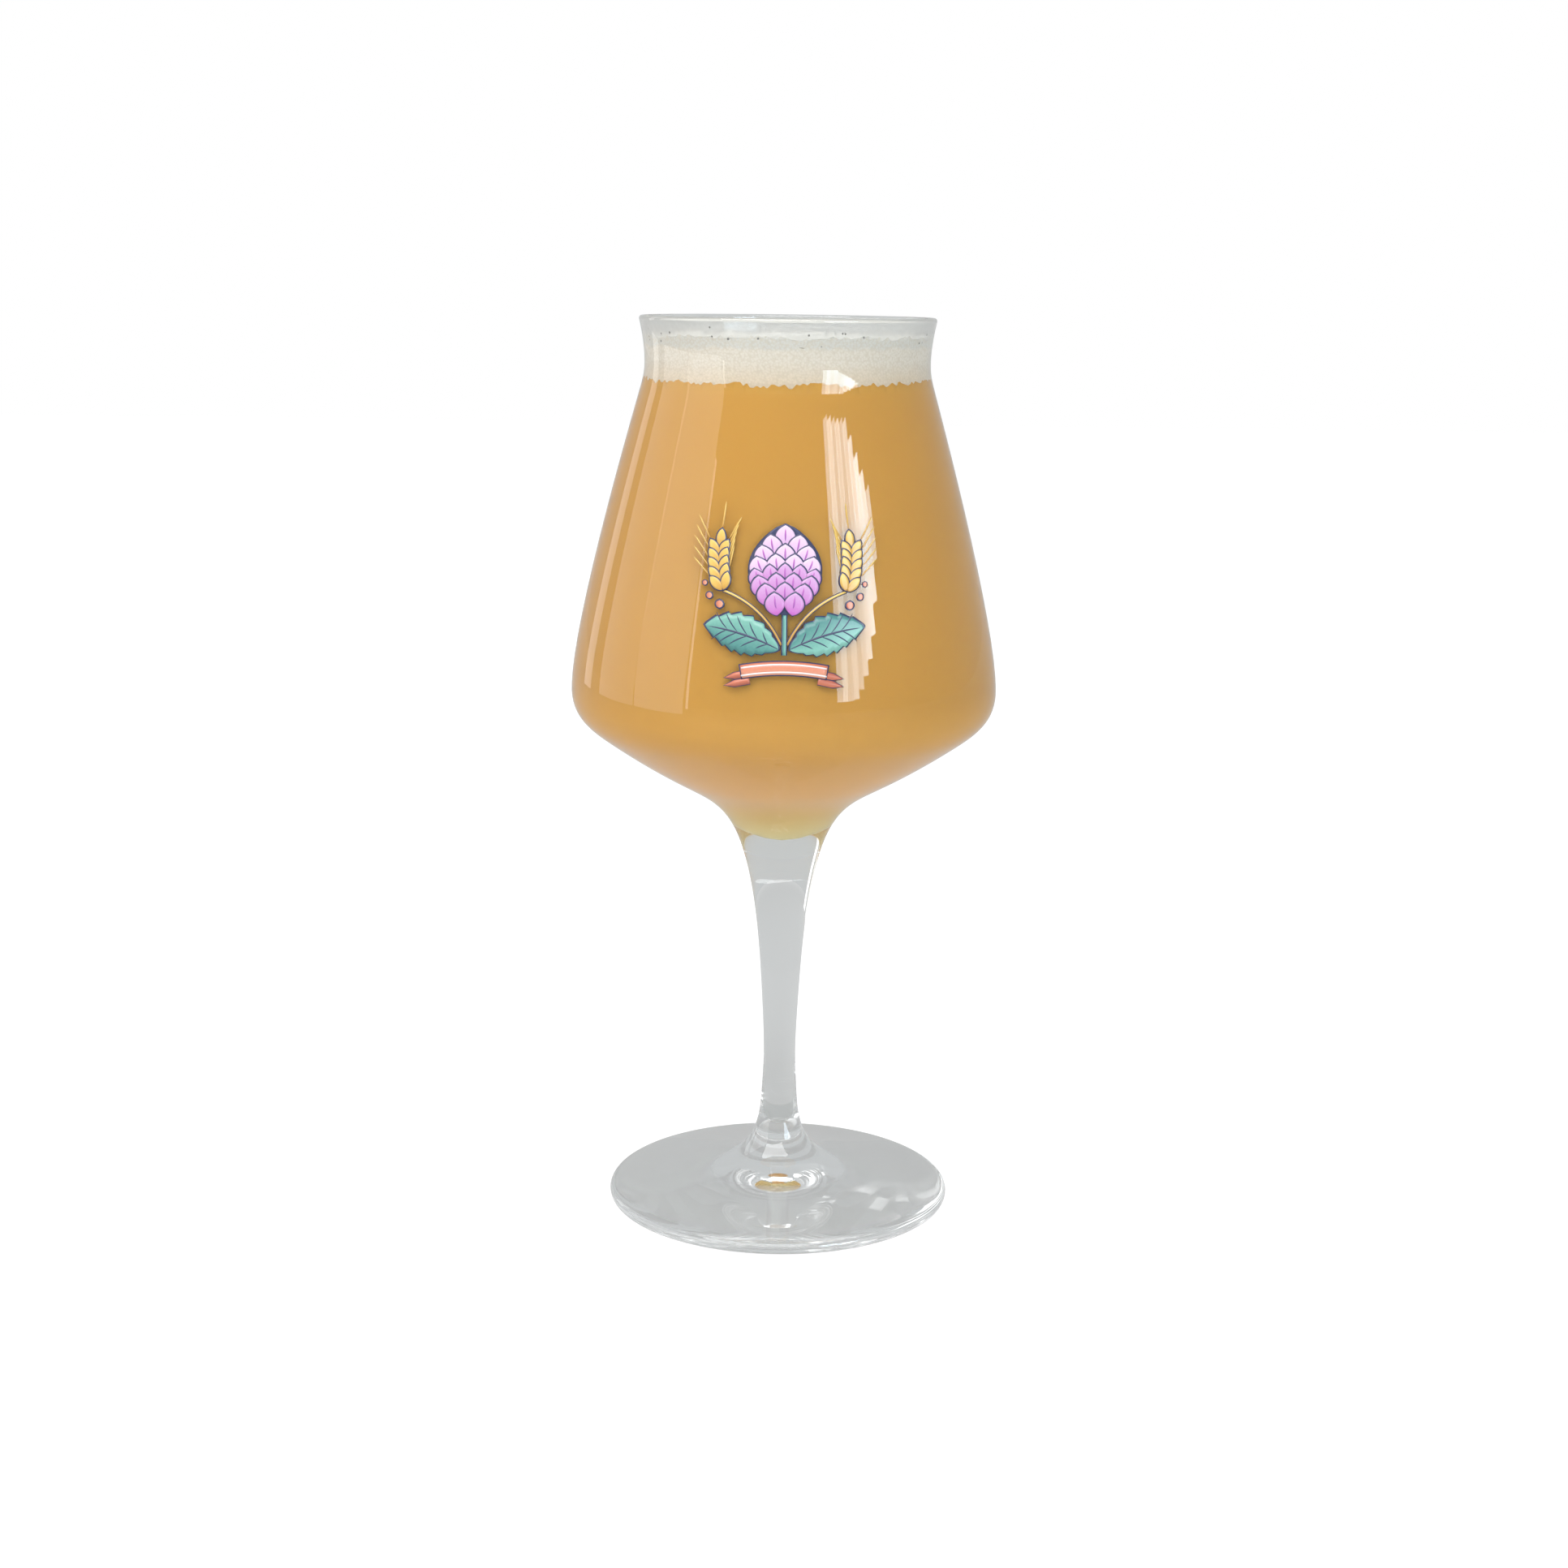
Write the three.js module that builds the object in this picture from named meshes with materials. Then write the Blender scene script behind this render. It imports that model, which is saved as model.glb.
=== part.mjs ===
// Stemmed tulip beer glass, filled: a blown bowl, a drawn stem and a pressed foot fused at two
// flat weld discs, the beer and its foam inside, and a printed hop emblem on the front wall.
// Millimetres, +Z up, foot on z = 0, axis of the glass on Z, printed front towards -Y.
import * as THREE from 'three';

// Foot: pressed disc with the stub of the stem, hollowed underneath
const FOOT_RADIUS = 38;
const FOOT_EDGE = 2.8; // thickness of the rounded edge
const FOOT_HEIGHT = 33; // table to the weld on the stem
const FOOT_CONE_RADIUS = 11; // where the flare runs out into the disc
const FOOT_CONE_RISE = 9.2;
const FOOT_FLARE_RADIUS = 4; // stub just above the flare
const FOOT_FLARE_RISE = 21.5;
const REST_RING_WIDTH = 3; // flat ring that the glass stands on
const FOOT_HOLLOW = 3.2; // rise of the underside at the axis

// Stem: solid, drawn thin towards the foot
const STEM_LENGTH = 46;
const STEM_FOOT_RADIUS = 3.35; // weld on the foot, the thinnest place
const STEM_BOWL_RADIUS = 8.3; // weld under the bowl

// Bowl: rises are measured from its weld on the stem
const BOWL_HEIGHT = 116;
const BASE_RADIUS = 21; // end of the fillet above the stem
const BASE_RISE = 15.3;
const TURN_RADIUS = 40.2; // start of the tight turn into the belly
const TURN_RISE = 27.2;
const BELLY_RADIUS = 46.1;
const BELLY_RISE = 37.5;
const THROAT_RADIUS = 31.5; // end of the long straight side
const THROAT_RISE = 100;
const NECK_RADIUS = 30.25;
const NECK_RISE = 106.5;
const LIP_RADIUS = 31.4; // outside of the flared lip
const WALL = 1.3; // side wall and lip
const BASE_WALL = 1.7; // wall at the end of the fillet
const BASE_PAD = 5.4; // solid glass under the middle of the bowl

// Slopes of the outlines, degrees above the level
const WELD_SLOPE = 74;
const BASE_SLOPE = 27.5;
const TURN_SLOPE = 35.5;
const THROAT_SLOPE = 106.5;
const LIP_SLOPE = 77;
const STUB_SLOPE = 87;
const CONE_SLOPE = 14;
const RIM_OF_FOOT_SLOPE = 13;

// Contents, measured down from the rim
const FOAM_DEPTH = 4.9; // rim to the top of the foam
const FOAM_THICKNESS = 7.3;
const FOAM_CREEP = 0.6; // foam standing higher along the wall
const FILL_GAP = 0.3; // contents to the inside of the wall

// Printed emblem, measured along the wall
const PRINT_RISE = 61.5; // middle of the emblem above the weld of the bowl
const PRINT_FILM = 0.2;
const PRINT_SEAT = 0.15; // film to the wall
const MOTIF_GAP = 1; // bare glass between two motifs
const CONE_LENGTH = 18;
const CONE_WIDTH = 15;
const STALK_LENGTH = 6.6;
const STALK_WIDTH = 1.2;
const LEAF_REACH = 15; // from the root outwards
const LEAF_LIFT = 4.5; // from the root upwards
const LEAF_WIDTH = 8.5;
const EAR_LENGTH = 14;
const EAR_WIDTH = 6;
const RIBBON_LENGTH = 17;
const RIBBON_WIDTH = 3;
const RIBBON_ARCH = 0.9; // rise of its middle over its ends

// Fineness of the solids
const TURN_STEPS = 40;
const CURVE_STEPS = 6;
const ROUND_STEPS = 4;

const FOOT_WELD = FOOT_HEIGHT;
const BOWL_WELD = FOOT_HEIGHT + STEM_LENGTH;
const RIM_TOP = BOWL_WELD + BOWL_HEIGHT;

const GLASS = { color: 0xdfe6e8, roughness: 0.04, metalness: 0 };
const BEER = { color: 0xd39a49, roughness: 0.1, metalness: 0 };
const FOAM = { color: 0xebe2d0, roughness: 0.9, metalness: 0 };
const ENAMEL = { roughness: 0.3, metalness: 0 };
const LILAC = 0xc58ac0;
const TEAL = 0x3fa9a8;
const GOLD = 0xe0b04a;
const CORAL = 0xe8795a;
const NAVY = 0x2b3560;

// A curve on to (radius, height) that leaves and arrives at given slopes; a pull is a share of the span
function sweepTo(path, leave, arrive, radius, height, pullOut = 0.34, pullIn = 0.34) {
  const start = path.currentPoint;
  const span = Math.hypot(radius - start.x, height - start.y);
  const out = THREE.MathUtils.degToRad(leave);
  const home = THREE.MathUtils.degToRad(arrive);
  path.bezierCurveTo(
    start.x + Math.cos(out) * span * pullOut,
    start.y + Math.sin(out) * span * pullOut,
    radius - Math.cos(home) * span * pullIn,
    height - Math.sin(home) * span * pullIn,
    radius,
    height,
  );
}

// Points of a profile moved to its left by a distance that runs from one value to another
function offsetLeft(points, firstDistance, lastDistance) {
  return points.map((point, index) => {
    const before = points[Math.max(index - 1, 0)];
    const after = points[Math.min(index + 1, points.length - 1)];
    const along = new THREE.Vector2().subVectors(after, before).normalize();
    const share = index / (points.length - 1);
    const distance = THREE.MathUtils.lerp(firstDistance, lastDistance, share);
    return new THREE.Vector2(point.x - along.y * distance, point.y + along.x * distance);
  });
}

// Radius of a rising profile at a height
function radiusAt(points, height) {
  for (let index = 1; index < points.length; index += 1) {
    const low = points[index - 1];
    const high = points[index];
    if (height <= high.y) {
      return THREE.MathUtils.mapLinear(height, low.y, high.y, low.x, high.x);
    }
  }
  return points[points.length - 1].x;
}

// The part of a rising profile below a height, ended at that height
function upTo(points, height) {
  const below = points.filter((point) => point.y < height - 0.2);
  return [...below, new THREE.Vector2(radiusAt(points, height), height)];
}

// The part of a rising profile above a height, started at that height
function from(points, height) {
  const above = points.filter((point) => point.y > height + 0.2);
  return [new THREE.Vector2(radiusAt(points, height), height), ...above];
}

// A solid turned about Z from a profile of (radius, height), bottom of the axis first
function turned(name, profile, look) {
  const geometry = new THREE.LatheGeometry(profile, TURN_STEPS);
  geometry.rotateX(Math.PI / 2);
  const mesh = new THREE.Mesh(geometry, new THREE.MeshStandardMaterial(look));
  mesh.name = name;
  return mesh;
}

// Foot: rest ring, rounded edge, shallow cone, flare and stub in one profile
function footProfile() {
  const edge = FOOT_EDGE / 2;
  const edgeCentre = FOOT_RADIUS - edge;
  const path = new THREE.Path();
  path.moveTo(0, FOOT_HOLLOW);
  sweepTo(path, 0, -6, edgeCentre - REST_RING_WIDTH, 0, 0.3, 0.3);
  path.lineTo(edgeCentre, 0);
  path.absarc(edgeCentre, edge, edge, -Math.PI / 2, Math.PI / 2 - THREE.MathUtils.degToRad(RIM_OF_FOOT_SLOPE));
  sweepTo(path, 180 - RIM_OF_FOOT_SLOPE, 180 - CONE_SLOPE, FOOT_CONE_RADIUS, FOOT_CONE_RISE, 0.36, 0.36);
  sweepTo(path, 180 - CONE_SLOPE, 180 - STUB_SLOPE, FOOT_FLARE_RADIUS, FOOT_FLARE_RISE, 0.2, 0.55);
  path.lineTo(STEM_FOOT_RADIUS, FOOT_WELD);
  path.lineTo(0, FOOT_WELD);
  return path.getPoints(CURVE_STEPS);
}

// Stem: one drawn curve between the two weld discs
function stemProfile() {
  const path = new THREE.Path();
  path.moveTo(0, FOOT_WELD);
  path.lineTo(STEM_FOOT_RADIUS, FOOT_WELD);
  sweepTo(path, STUB_SLOPE, WELD_SLOPE, STEM_BOWL_RADIUS, BOWL_WELD, 0.43, 0.27);
  path.lineTo(0, BOWL_WELD);
  return path.getPoints(2 * CURVE_STEPS);
}

// Outside of the bowl from the weld to the end of the fillet
function filletOutline() {
  const path = new THREE.Path();
  path.moveTo(STEM_BOWL_RADIUS, BOWL_WELD);
  sweepTo(path, WELD_SLOPE, BASE_SLOPE, BASE_RADIUS, BOWL_WELD + BASE_RISE, 0.47, 0.38);
  return path.getPoints(CURVE_STEPS);
}

// Outside of the bowl from the end of the fillet to the lip
function wallOutline() {
  const path = new THREE.Path();
  path.moveTo(BASE_RADIUS, BOWL_WELD + BASE_RISE);
  sweepTo(path, BASE_SLOPE, TURN_SLOPE, TURN_RADIUS, BOWL_WELD + TURN_RISE);
  sweepTo(path, TURN_SLOPE, 90, BELLY_RADIUS, BOWL_WELD + BELLY_RISE, 0.42, 0.42);
  sweepTo(path, 90, THROAT_SLOPE, THROAT_RADIUS, BOWL_WELD + THROAT_RISE, 0.14, 0.385);
  sweepTo(path, THROAT_SLOPE, 90, NECK_RADIUS, BOWL_WELD + NECK_RISE, 0.4, 0.34);
  sweepTo(path, 90, LIP_SLOPE, LIP_RADIUS, RIM_TOP - WALL / 2);
  return path.getPoints(CURVE_STEPS);
}

// Inside of the bowl, rising from the middle of its bottom to the lip
function insideOutline(wall) {
  const inside = offsetLeft(wall, BASE_WALL, WALL);
  const path = new THREE.Path();
  path.moveTo(0, BOWL_WELD + BASE_PAD);
  sweepTo(path, 0, BASE_SLOPE, inside[0].x, inside[0].y, 0.2, 0.5);
  return [...path.getPoints(CURVE_STEPS), ...inside.slice(1)];
}

// Fire-polished rim: a half round between the two sides of the lip
function rimRound(outer, inner) {
  const middle = new THREE.Vector2().addVectors(outer, inner).multiplyScalar(0.5);
  const start = Math.atan2(outer.y - middle.y, outer.x - middle.x);
  const path = new THREE.Path();
  path.absarc(middle.x, middle.y, outer.distanceTo(inner) / 2, start, start + Math.PI);
  return path.getPoints(2 * ROUND_STEPS).slice(1, -1);
}

// A film on the wall: a strip along a flat spine of (distance round the wall, rise), as wide as a function says
function film(name, wall, spine, halfWidth, rows, columns, color) {
  const positions = [];
  const indices = [];
  const middle = BOWL_WELD + PRINT_RISE;
  for (const lift of [PRINT_SEAT, PRINT_SEAT + PRINT_FILM]) {
    for (let row = 0; row <= rows; row += 1) {
      const centre = spine.getPoint(row / rows);
      const along = spine.getTangent(row / rows);
      for (let column = 0; column <= columns; column += 1) {
        const side = halfWidth(row / rows) * ((2 * column) / columns - 1);
        const height = middle + centre.y - along.x * side;
        const radius = radiusAt(wall, height);
        const angle = (centre.x + along.y * side) / radius;
        const out = radius + lift;
        positions.push(out * Math.sin(angle), -out * Math.cos(angle), height);
      }
    }
  }
  const layer = (rows + 1) * (columns + 1);
  const at = (level, row, column) => level * layer + row * (columns + 1) + column;
  const quad = (a, b, c, d) => indices.push(a, b, c, a, c, d);
  for (let row = 0; row < rows; row += 1) {
    for (let column = 0; column < columns; column += 1) {
      quad(at(1, row, column), at(1, row, column + 1), at(1, row + 1, column + 1), at(1, row + 1, column));
      quad(at(0, row, column), at(0, row + 1, column), at(0, row + 1, column + 1), at(0, row, column + 1));
    }
    quad(at(0, row, 0), at(1, row, 0), at(1, row + 1, 0), at(0, row + 1, 0));
    quad(at(1, row, columns), at(0, row, columns), at(0, row + 1, columns), at(1, row + 1, columns));
  }
  for (let column = 0; column < columns; column += 1) {
    quad(at(0, 0, column), at(0, 0, column + 1), at(1, 0, column + 1), at(1, 0, column));
    quad(at(1, rows, column), at(1, rows, column + 1), at(0, rows, column + 1), at(0, rows, column));
  }
  const geometry = new THREE.BufferGeometry();
  geometry.setAttribute('position', new THREE.Float32BufferAttribute(positions, 3));
  geometry.setIndex(indices);
  geometry.computeVertexNormals();
  const mesh = new THREE.Mesh(geometry, new THREE.MeshStandardMaterial({ ...ENAMEL, color }));
  mesh.name = name;
  return mesh;
}

// A curve from one flat point to another that bulges to its left
function bow(fromX, fromY, toX, toY, bulge) {
  const start = new THREE.Vector2(fromX, fromY);
  const end = new THREE.Vector2(toX, toY);
  const across = new THREE.Vector2().subVectors(end, start);
  const middle = new THREE.Vector2().addVectors(start, end).multiplyScalar(0.5);
  middle.add(new THREE.Vector2(-across.y, across.x).multiplyScalar(bulge));
  return new THREE.QuadraticBezierCurve(start, middle, end);
}

// Width of a motif along its length: full in the middle and blunt at both ends
function spindle(width, fullness, blunt) {
  return (share) => blunt + (width / 2 - blunt) * Math.pow(Math.sin(Math.PI * share), fullness);
}

// Emblem: a hop cone upright on its stalk between two ears of barley, over two leaves and a ribbon
function emblem(wall) {
  const films = [];
  const height = RIBBON_WIDTH + STALK_LENGTH + CONE_LENGTH + 2 * MOTIF_GAP;
  const ribbonRise = (RIBBON_WIDTH - height) / 2;
  const stalkFoot = ribbonRise + RIBBON_WIDTH / 2 + MOTIF_GAP;
  const stalkTop = stalkFoot + STALK_LENGTH;
  const coneFoot = stalkTop + MOTIF_GAP;
  const coneTop = coneFoot + CONE_LENGTH;

  const ribbonEnds = ribbonRise - RIBBON_ARCH;
  const ribbonBulge = (2 * RIBBON_ARCH) / RIBBON_LENGTH;
  const ribbon = bow(-RIBBON_LENGTH / 2, ribbonEnds, RIBBON_LENGTH / 2, ribbonEnds, ribbonBulge);
  films.push(film('print_ribbon', wall, ribbon, () => RIBBON_WIDTH / 2, 8, 1, CORAL));
  const stalk = new THREE.LineCurve(new THREE.Vector2(0, stalkFoot), new THREE.Vector2(0, stalkTop));
  films.push(film('print_stalk', wall, stalk, () => STALK_WIDTH / 2, 4, 1, NAVY));
  const cone = new THREE.LineCurve(new THREE.Vector2(0, coneFoot), new THREE.Vector2(0, coneTop));
  films.push(film('print_cone', wall, cone, spindle(CONE_WIDTH, 0.7, 0.8), 9, 6, LILAC));

  const leafX = STALK_WIDTH / 2 + MOTIF_GAP;
  const leafY = stalkFoot + MOTIF_GAP;
  const earX = CONE_WIDTH / 2 + MOTIF_GAP + EAR_WIDTH / 2;
  const earY = leafY + LEAF_LIFT + LEAF_WIDTH / 2 + 2 * MOTIF_GAP;
  for (const [side, sign] of [['left', -1], ['right', 1]]) {
    const leaf = bow(sign * leafX, leafY, sign * (leafX + LEAF_REACH), leafY + LEAF_LIFT, sign * 0.1);
    films.push(film(`print_leaf_${side}`, wall, leaf, spindle(LEAF_WIDTH, 0.8, 0.4), 9, 4, TEAL));
    const ear = bow(sign * earX, earY, sign * earX, earY + EAR_LENGTH, sign * -0.16);
    films.push(film(`print_ear_${side}`, wall, ear, spindle(EAR_WIDTH, 0.6, 0.5), 9, 2, GOLD));
  }
  return films;
}

const wall = wallOutline();
const inside = insideOutline(wall);
const outside = [...filletOutline(), ...wall.slice(1)];
const rim = rimRound(wall[wall.length - 1], inside[inside.length - 1]);
const bowlProfile = [new THREE.Vector2(0, BOWL_WELD), ...outside, ...rim, ...inside.toReversed()];

const foamTop = RIM_TOP - FOAM_DEPTH;
const beerTop = foamTop - FOAM_THICKNESS;
const filled = offsetLeft(inside, FILL_GAP, FILL_GAP);
filled[0].x = 0;
const axisAt = (height) => new THREE.Vector2(0, height);
const beerProfile = [...upTo(filled, beerTop), axisAt(beerTop)];
const foamSide = upTo(from(filled, beerTop), foamTop + FOAM_CREEP);
const foamCrown = new THREE.Vector2(radiusAt(filled, foamTop) - 2 * FOAM_CREEP, foamTop);
const foamProfile = [axisAt(beerTop), ...foamSide, foamCrown, axisAt(foamTop)];

const glass = new THREE.Group();
glass.add(turned('foot', footProfile(), GLASS));
glass.add(turned('stem', stemProfile(), GLASS));
glass.add(turned('bowl', bowlProfile, GLASS));
glass.add(turned('beer', beerProfile, BEER));
glass.add(turned('foam_head', foamProfile, FOAM));
glass.add(...emblem(wall));

export default glass;
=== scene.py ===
import math
import random

import bmesh
import bpy
from mathutils import Euler, Matrix, Vector, noise


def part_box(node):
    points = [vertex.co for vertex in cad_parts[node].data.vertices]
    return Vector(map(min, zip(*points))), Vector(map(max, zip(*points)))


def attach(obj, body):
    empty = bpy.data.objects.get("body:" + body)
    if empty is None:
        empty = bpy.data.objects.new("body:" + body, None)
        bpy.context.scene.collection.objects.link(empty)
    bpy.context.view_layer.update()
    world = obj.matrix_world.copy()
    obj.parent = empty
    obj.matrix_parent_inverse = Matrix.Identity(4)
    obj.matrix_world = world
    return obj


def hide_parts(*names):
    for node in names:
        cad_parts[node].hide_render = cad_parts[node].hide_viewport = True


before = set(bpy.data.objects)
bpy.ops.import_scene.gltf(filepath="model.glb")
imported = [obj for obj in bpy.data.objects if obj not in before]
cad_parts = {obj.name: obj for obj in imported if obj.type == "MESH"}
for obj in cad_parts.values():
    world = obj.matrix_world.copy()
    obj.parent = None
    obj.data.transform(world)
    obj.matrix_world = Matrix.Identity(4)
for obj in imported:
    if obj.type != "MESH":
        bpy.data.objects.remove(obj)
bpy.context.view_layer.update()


# Foot: a pressed disc of clear soda-lime glass with the stub of the stem drawn up from its middle.
# It is hollowed underneath, stands on a narrow flat ring, and is fused to the stem while hot.
MM = 0.001
SAME_PLACE = 0.001 * MM
GLASS_STEPS = 192
GLASS_ROUNDS = 1
GLASS_IOR = 1.5
GLASS_TINT = (0.955, 0.972, 0.968, 1.0)
GLASS_ROUGHNESS = 0.0
WELD_EASE = 1.2 * MM
BEND_PARTS = 6


def front_section(node):
    """The outline of a turned CAD node on its front side, from axis to axis, as a wire."""
    bm = bmesh.new()
    bm.from_mesh(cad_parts[node].data)
    bmesh.ops.remove_doubles(bm, verts=bm.verts, dist=SAME_PLACE)
    others = [v for v in bm.verts if abs(v.co.x) > SAME_PLACE or v.co.y > SAME_PLACE]
    bmesh.ops.delete(bm, geom=others, context="VERTS")
    return bm


def spin_round(bm, steps):
    """Turns a wire in the plane x = 0 into a closed skin about the axis of the glass."""
    bmesh.ops.spin(bm, geom=bm.verts[:] + bm.edges[:], cent=(0, 0, 0), axis=(0, 0, 1),
                   angle=2 * math.pi, steps=steps, use_merge=True)
    bmesh.ops.remove_doubles(bm, verts=bm.verts, dist=SAME_PLACE)
    bmesh.ops.recalc_face_normals(bm, faces=bm.faces)


def add_piece(bm, name, materials):
    """Puts a finished bmesh into the scene as a smooth piece that rides with the glass."""
    mesh = bpy.data.meshes.new(name)
    bm.to_mesh(mesh)
    bm.free()
    mesh.shade_smooth()
    piece = bpy.data.objects.new(name, mesh)
    bpy.context.collection.objects.link(piece)
    for material in materials:
        mesh.materials.append(material)
    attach(piece, "root")
    return piece


def round_off(piece, rounds):
    """Subdivision that makes the turned facets run smooth."""
    modifier = piece.modifiers.new("round", "SUBSURF")
    modifier.levels = rounds
    modifier.render_levels = rounds


def new_material(name):
    """A node material, its node tree and its shader."""
    material = bpy.data.materials.new(name)
    material.use_nodes = True
    tree = material.node_tree
    return material, tree, tree.nodes["Principled BSDF"]


def add_node(tree, kind, **sockets):
    """A node with some of its input sockets set by name."""
    node = tree.nodes.new(kind)
    for socket, value in sockets.items():
        node.inputs[socket.replace("_", " ")].default_value = value
    return node


def new_group(name, inputs, outputs):
    """An empty shader node group with named sockets, its inlet and its outlet."""
    group = bpy.data.node_groups.new(name, "ShaderNodeTree")
    for label, kind in inputs.items():
        group.interface.new_socket(label, in_out="INPUT", socket_type="NodeSocket" + kind)
    for label, kind in outputs.items():
        group.interface.new_socket(label, in_out="OUTPUT", socket_type="NodeSocket" + kind)
    return group, group.nodes.new("NodeGroupInput"), group.nodes.new("NodeGroupOutput")


def place_group(tree, group, **sockets):
    """A node group placed in a material with that material's own values."""
    node = tree.nodes.new("ShaderNodeGroup")
    node.node_tree = group
    for socket, value in sockets.items():
        node.inputs[socket].default_value = value
    return node


def ripple_group():
    """The slow ripple that blowing, drawing or pressing leaves in a skin of glass."""
    inputs = {"Scale": "Float", "Depth": "Float"}
    group, inlet, outlet = new_group("glass_ripple", inputs, {"Normal": "Vector"})
    place = add_node(group, "ShaderNodeTexCoord")
    ripple = add_node(group, "ShaderNodeTexNoise", Detail=1.0)
    bump = add_node(group, "ShaderNodeBump", Strength=0.2)
    group.links.new(place.outputs["Object"], ripple.inputs["Vector"])
    group.links.new(inlet.outputs["Scale"], ripple.inputs["Scale"])
    group.links.new(inlet.outputs["Depth"], bump.inputs["Distance"])
    group.links.new(ripple.outputs["Fac"], bump.inputs["Height"])
    group.links.new(bump.outputs["Normal"], outlet.inputs["Normal"])
    return group


glass_ripple = ripple_group()


def clear_glass(name, ripple_size, ripple_depth):
    """Clear glass with a ripple in its skin."""
    material, tree, shader = new_material(name)
    shader.inputs["Base Color"].default_value = GLASS_TINT
    shader.inputs["Roughness"].default_value = GLASS_ROUGHNESS
    shader.inputs["IOR"].default_value = GLASS_IOR
    shader.inputs["Transmission Weight"].default_value = 1.0
    ripple = place_group(tree, glass_ripple, Scale=1 / ripple_size, Depth=ripple_depth)
    tree.links.new(ripple.outputs["Normal"], shader.inputs["Normal"])
    return material


def fused_joint():
    """Where two pieces are fused there is no surface left to see."""
    material, _, shader = new_material("fused_joint")
    shader.inputs["Base Color"].default_value = GLASS_TINT
    shader.inputs["Roughness"].default_value = GLASS_ROUGHNESS
    shader.inputs["Alpha"].default_value = 0.0
    return material


def weld_corner(bm, height):
    """The outer corner of a weld in a section, and the edge of the skin that meets it."""
    cap = {vert for vert in bm.verts if abs(vert.co.z - height) < SAME_PLACE}
    corner = min(cap, key=lambda vert: vert.co.y)
    skin = next(edge for edge in corner.link_edges if edge.other_vert(corner) not in cap)
    return corner, skin


def ease_weld(bm, height, partner):
    """Lets the skin run on across a weld without a kink, in the direction that both sections share.

    Subdivision draws a ring of the skin in by a sixth of the bend at it, but not a creased ring,
    so the corner of the weld is moved by as much.
    """
    corner, skin = weld_corner(bm, height)
    other = front_section(partner)
    other_corner, other_skin = weld_corner(other, height)
    before = corner.co - skin.other_vert(corner).co
    after = other_skin.other_vert(other_corner).co - other_corner.co
    course = (before / before.length_squared + after / after.length_squared).normalized()
    across = Vector((0, course.z, -course.y))
    corner.co.y += (after - before).dot(across) / BEND_PARTS / across.y
    _, eased = bmesh.utils.edge_split(skin, corner, 0.1)
    eased.co = corner.co - course * WELD_EASE
    other.free()


def glass_piece(node, name, material, joints):
    """A glass piece turned from its CAD node; joints gives each weld's height and the node beyond it."""
    bm = front_section(node)
    for height, partner in joints.items():
        ease_weld(bm, height, partner)
    spin_round(bm, GLASS_STEPS)
    crease = bm.edges.layers.float.new("crease_edge")
    for face in bm.faces:
        for height in joints:
            if all(abs(v.co.z - height) < SAME_PLACE for v in face.verts):
                face.material_index = 1
    for edge in bm.edges:
        if len({face.material_index for face in edge.link_faces}) > 1:
            edge[crease] = 1.0
            edge.smooth = False
    piece = add_piece(bm, name, [material, joint_glass])
    round_off(piece, GLASS_ROUNDS)
    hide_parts(node)


joint_glass = fused_joint()
foot_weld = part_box("foot")[1].z
pressed_glass = clear_glass("pressed_glass", ripple_size=9 * MM, ripple_depth=0.02 * MM)
glass_piece("foot", "glass_foot", pressed_glass, {foot_weld: "stem"})


# Stem: solid glass drawn out between the foot and the bowl, thinnest just above the foot.
# Both of its ends are fused, so only its drawn skin shows.
bowl_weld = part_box("stem")[1].z
drawn_glass = clear_glass("drawn_glass", ripple_size=6 * MM, ripple_depth=0.01 * MM)
glass_piece("stem", "glass_stem", drawn_glass, {foot_weld: "foot", bowl_weld: "bowl"})


# Bowl: a thin blown shell with a fire-polished lip, a neck, a low belly and a thick base pad.
# It is fused to the top of the stem.
blown_glass = clear_glass("blown_glass", ripple_size=14 * MM, ripple_depth=0.01 * MM)
glass_piece("bowl", "glass_bowl", blown_glass, {bowl_weld: "stem"})


# Beer: unfiltered wheat-coloured beer that fills the bowl and wets its wall, cloudy with yeast.
# It is painted paler and brighter towards the bottom of the bowl, painted light that makes up for the shade
# on its downward-facing wall, and its upper edge is ragged where the froth hangs into it.
BEER_STEPS = 720
WETS_WALL = 0.45 * MM
EDGE_ZONE = 2.6 * MM
EDGE_DIP = 0.1
FROTH_HANG = 0.5
FROTH_LUMPS = ((6 * MM, 0.45), (0.9 * MM, 0.55))
BEER_BODY = (0.65, 0.35, 0.069, 1.0)
# Lower and bottom tones are painted light: paler and brighter than the body, to make up for the shade on the
# beer's downward-facing wall.
BEER_LOWER_PAINTED_LIGHT = (0.88, 0.49, 0.125, 1.0)
BEER_BOTTOM_PAINTED_LIGHT = (0.74, 0.62, 0.31, 1.0)


def swell(bm, distance):
    """Moves a skin outwards along its normals."""
    bm.normal_update()
    moves = [(vert, vert.normal * distance) for vert in bm.verts]
    for vert, move in moves:
        vert.co += move


def unevenness(place, size):
    """A smooth random value from 0 to 1 whose lumps have about the given size."""
    return min(max(0.5 + 0.9 * noise.noise(place / size), 0.0), 1.0)


def lumpiness(place, lumps):
    """Unevenness of several sizes together; lumps gives each size with its weight."""
    return sum(weight * unevenness(place, size) for size, weight in lumps)


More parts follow.
